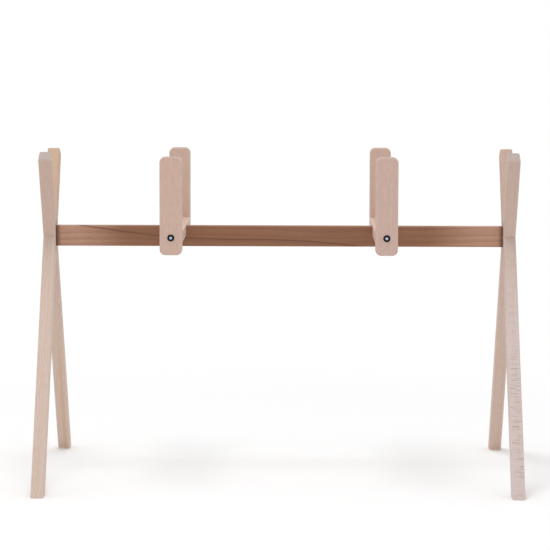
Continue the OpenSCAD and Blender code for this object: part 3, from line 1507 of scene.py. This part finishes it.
@dataclass
class InsertNut(Fastener):
    """Sleeve with a coarse thread outside and a plain bore."""

    bore_radius: float = 0.00305
    collar: float = 0.0008
    root_depth: float = 0.0007
    neck_depth: float = 0.0001
    pitch: float = 0.0024
    facets: int = 48

    slot = "nut_steel"
    ending = "_insert"
    title = "_sleeve"

    def shape(self) -> BMesh:
        """Shape the sleeve.

        Returns:
            The closed mesh.
        """
        top = self.box.size.z
        crest = self.box.size.x / 2
        root = crest - self.root_depth
        neck = root - self.neck_depth
        low, high = self.collar, top - self.collar
        bm = bmesh.new()
        ScrewThread(root, crest, self.pitch, self.facets).add_to(bm, low, high)
        outline = [
            (neck, low), (neck, 0.0), (self.bore_radius, 0.0),
            (self.bore_radius, top), (neck, top), (neck, high),
        ]
        lathe(bm, outline, self.facets)
        fill_level(bm, low)
        fill_level(bm, high)
        bmesh.ops.translate(bm, vec=self.box.end(-AXIS_Z), verts=bm.verts)
        return bm


@dataclass
class Studio:
    """White floor, soft light and the photograph's camera."""

    camera_place: Sequence[float] = (0.0258, -4.4154, 0.8212)
    camera_pitch: float = math.radians(5.847)
    camera_yaw: float = math.radians(-0.437)
    camera_roll: float = math.radians(0.146)
    camera_range: float = 100.0
    focal_length: float = 156.58
    sensor_width: float = 36.0
    floor_width: float = 30.0
    floor_drop: float = 0.0002
    touch_reach: float = 0.006
    floor_level: float = 0.86
    floor_shown: float = 0.9
    fade_start: float = 0.7
    fade_end: float = 1.5
    sky_level: float = 0.91
    key_place: Sequence[float] = (-0.3, -0.5, 3.4)
    key_aim: Sequence[float] = (0.0, 0.0, 0.3)
    key_width: float = 1.0
    key_power: float = 29.0

    def build(self) -> None:
        """Set up everything that isn't the stand."""
        self._add_camera()
        self._add_floor()
        self._add_key()
        self._add_sky()
        bpy.context.scene.view_settings.view_transform = "Standard"

    def _add_camera(self) -> None:
        """Add the camera where the photograph was taken from."""
        data = bpy.data.cameras.new("camera")
        data.lens = self.focal_length
        data.sensor_width = self.sensor_width
        data.clip_end = self.camera_range
        camera = in_scene("camera", data)
        camera.matrix_world = (
            Matrix.Translation(self.camera_place)
            @ Matrix.Rotation(-self.camera_yaw, 4, "Z")
            @ Matrix.Rotation(math.pi / 2 - self.camera_pitch, 4, "X")
            @ Matrix.Rotation(self.camera_roll, 4, "Z")
        )
        bpy.context.scene.camera = camera

    def _add_floor(self) -> None:
        """Add the floor just below the soles, white away from the stand.

        It is clear from below, and clear to what all but touches it, so that the soles aren't black.
        """
        bm = bmesh.new()
        place = Matrix.Translation(AXIS_Z * -self.floor_drop)
        bmesh.ops.create_grid(bm, x_segments=1, y_segments=1, size=self.floor_width / 2, matrix=place)
        floor = mesh_object("floor", bm)
        material, graph = ShaderGraph.of_material("white_floor")
        x, y, _ = graph.split(graph.node("ShaderNodeTexCoord", output="Object"))
        far = (x * x + y * y).root().rise(self.fade_start, self.fade_end)
        lit, near = [
            graph.node("ShaderNodeBsdfDiffuse", inputs={"Color": grey(level)})
            for level in (self.floor_level, self.floor_shown)
        ]
        white = graph.node("ShaderNodeEmission", inputs={"Strength": 1.0})
        shown = graph.node("ShaderNodeMixShader", inputs={0: far, 1: near, 2: white})
        top = graph.node("ShaderNodeMixShader", inputs={0: graph.seen_directly(), 1: lit, 2: shown})
        below = graph.node("ShaderNodeNewGeometry", output="Backfacing")
        touching = 1 - graph.node("ShaderNodeLightPath", output="Ray Length").rise(0.0, self.touch_reach)
        clear = graph.node("ShaderNodeBsdfTransparent")
        both = graph.node("ShaderNodeMixShader", inputs={0: below.largest(touching), 1: top, 2: clear})
        graph.finish("ShaderNodeOutputMaterial", both)
        paint(floor, material)

    def _add_key(self) -> None:
        """Add the large soft lamp above the front left."""
        data = bpy.data.lights.new("key", "AREA")
        data.shape = "SQUARE"
        data.size = self.key_width
        data.energy = self.key_power
        place = Vector(self.key_place)
        in_scene("key", data).matrix_world = standing(place, place - Vector(self.key_aim))

    def _add_sky(self) -> None:
        """Light the stand evenly from all round, in front of a white background."""
        world = bpy.data.worlds.new("studio")
        bpy.context.scene.world = world
        graph = ShaderGraph(world)
        strength = self.sky_level + graph.seen_directly() * (1 - self.sky_level)
        shader = graph.node("ShaderNodeBackground", inputs={"Color": grey(1.0), "Strength": strength})
        graph.finish("ShaderNodeOutputWorld", shader)


LEG_LATE = srgb(176, 146, 128)
POST_LATE = srgb(176, 142, 125)
LEG_TURNING = (-260.0, 190.0)

LEG_FINISHES = {
    (Side.LEFT, Face.FRONT): Beech(
        "beech_left_front_leg", srgb(207, 186, 173), srgb(197, 167, 143), LEG_LATE,
        pith=(64.0, 118.0), seed=1.3, turning=(-60.0, 130.0),
    ),
    (Side.LEFT, Face.REAR): Beech(
        "beech_left_rear_leg", srgb(208, 185, 170), srgb(200, 173, 160), LEG_LATE,
        pith=(-72.0, 104.0), seed=4.1, turning=LEG_TURNING,
        figure=Streak(
            srgb(206, 168, 134), middle=3.5, half_width=5.0, span=(-190.0, -300.0), share=0.6,
        ),
    ),
    (Side.RIGHT, Face.FRONT): Beech(
        "beech_right_front_leg", srgb(206, 190, 185), srgb(188, 162, 148), LEG_LATE,
        pith=(126.0, -9.0), seed=7.7, turning=(-260.0, 110.0),
        ray_colour=srgb(156, 134, 124), ray_share=0.85, ray_size=(44.0, 1.6, 1.3), ray_rarity=0.62,
        ray_span=(-470.0, -270.0),
    ),
    (Side.RIGHT, Face.REAR): Beech(
        "beech_right_rear_leg", srgb(206, 182, 168), srgb(198, 174, 161), LEG_LATE,
        pith=(86.0, -81.0), seed=11.9, turning=LEG_TURNING,
    ),
}

# Painted shade: the rail is darker and browner in its middle than at its ends, and darkened at its ends
# where they meet the legs
RAIL_FINISH = Beech(
    "beech_rail", srgb(183, 140, 117), srgb(141, 97, 71), srgb(104, 66, 46),
    pith=(62.0, 40.0), seed=15.2, turning=(385.0, 265.0), both_ways=True,
    sway=6.0, sway_length=400.0, ring_width=5.5, ring_share=0.22,
    figure=Vein(
        srgb(98, 62, 43), middle=-10.5, slope=-0.075, wave=-5.5, wave_length=520.0,
        wave_start=-326.0, half_width=2.4, share=0.75,
    ),
    ray_colour=srgb(112, 76, 56), end_colour=srgb(140, 104, 84), end_stain=0.85, stain_reach=11.0,
)

BAR_FINISHES = {
    Side.LEFT: Beech(
        "beech_left_bar", srgb(203, 176, 161), srgb(196, 168, 150), LEG_LATE,
        pith=(70.0, 42.0), seed=18.4,
    ),
    Side.RIGHT: Beech(
        "beech_right_bar", srgb(200, 174, 162), srgb(199, 170, 152), LEG_LATE,
        pith=(84.0, -50.0), seed=21.6,
    ),
}

POST_FINISHES = {
    (Face.FRONT, Side.LEFT): Beech(
        "beech_front_left_post", srgb(207, 178, 163), srgb(204, 174, 159), POST_LATE,
        pith=(92.0, 90.0), seed=24.8,
    ),
    (Face.FRONT, Side.RIGHT): Beech(
        "beech_front_right_post", srgb(205, 177, 165), srgb(202, 172, 160), POST_LATE,
        pith=(-96.0, 78.0), seed=27.1,
    ),
    (Face.REAR, Side.LEFT): Beech(
        "beech_rear_left_post", srgb(206, 178, 163), srgb(203, 173, 159), POST_LATE,
        pith=(81.0, -90.0), seed=30.5,
    ),
    (Face.REAR, Side.RIGHT): Beech(
        "beech_rear_right_post", srgb(205, 176, 163), srgb(202, 172, 157), POST_LATE,
        pith=(-88.0, -86.0), seed=33.3,
    ),
}

DOWEL_FINISH = Beech(
    "beech_dowel", srgb(214, 190, 160), srgb(208, 180, 148), srgb(180, 148, 118),
    pith=(40.0, 60.0), seed=36.0,
)


def wooden_parts() -> list[Board]:
    """List the pieces of wood.

    Returns:
        The pieces, in building order.
    """
    parts: list[Board] = []
    for (side, foot), finish in LEG_FINISHES.items():
        parts.append(LegBoard(f"{side}_{foot}_leg", finish, side=side, foot=foot))
    parts.append(CentreRail(RAIL_NODE, RAIL_FINISH))
    for side, finish in BAR_FINISHES.items():
        parts.append(CrossBar(f"{side}_cross_bar", finish, side=side))
    for (face, side), finish in POST_FINISHES.items():
        parts.append(SidePost(f"{face}_{side}_post", finish, side=side, face=face))
    for side in Side:
        parts += [FlutedDowel(f"{side}_{level}_dowel", DOWEL_FINISH) for level in Level]
    return parts


def fasteners() -> list[Fastener]:
    """List the bolts and nuts, with the ways that they face.

    Returns:
        The bolts and then the nuts, in building order.
    """
    black = BlackenedSteel().material()
    zinc = BrightZinc().material()
    bolts: list[Fastener] = []
    nuts: list[Fastener] = []
    for face, side in POST_FINISHES:
        stem = f"{face}_{side}_post"
        bolts.append(ButtonBolt(f"{stem}_bolt", black, face.outward))
        nuts.append(BarrelNut(f"{stem}_nut", zinc, -AXIS_Z, AXIS_Y))
    for side in Side:
        bolts.append(ButtonBolt(f"{side}_rail_bolt", black, side.outward))
        bolts.append(ButtonBolt(f"{side}_bar_bolt", black, -AXIS_Z))
        nuts.append(BarrelNut(f"{side}_rail_nut", zinc, AXIS_Y, AXIS_X))
        nuts.append(InsertNut(f"{side}_bar_insert", zinc))
    return bolts + nuts


def main() -> None:
    """Build the stand, dress it and light it."""
    logging.basicConfig(level=logging.INFO, format="%(name)s: %(message)s")
    for part in [*wooden_parts(), *fasteners()]:
        part.build()
        part.dress()
    Studio().build()


if __name__ == "__main__":
    main()
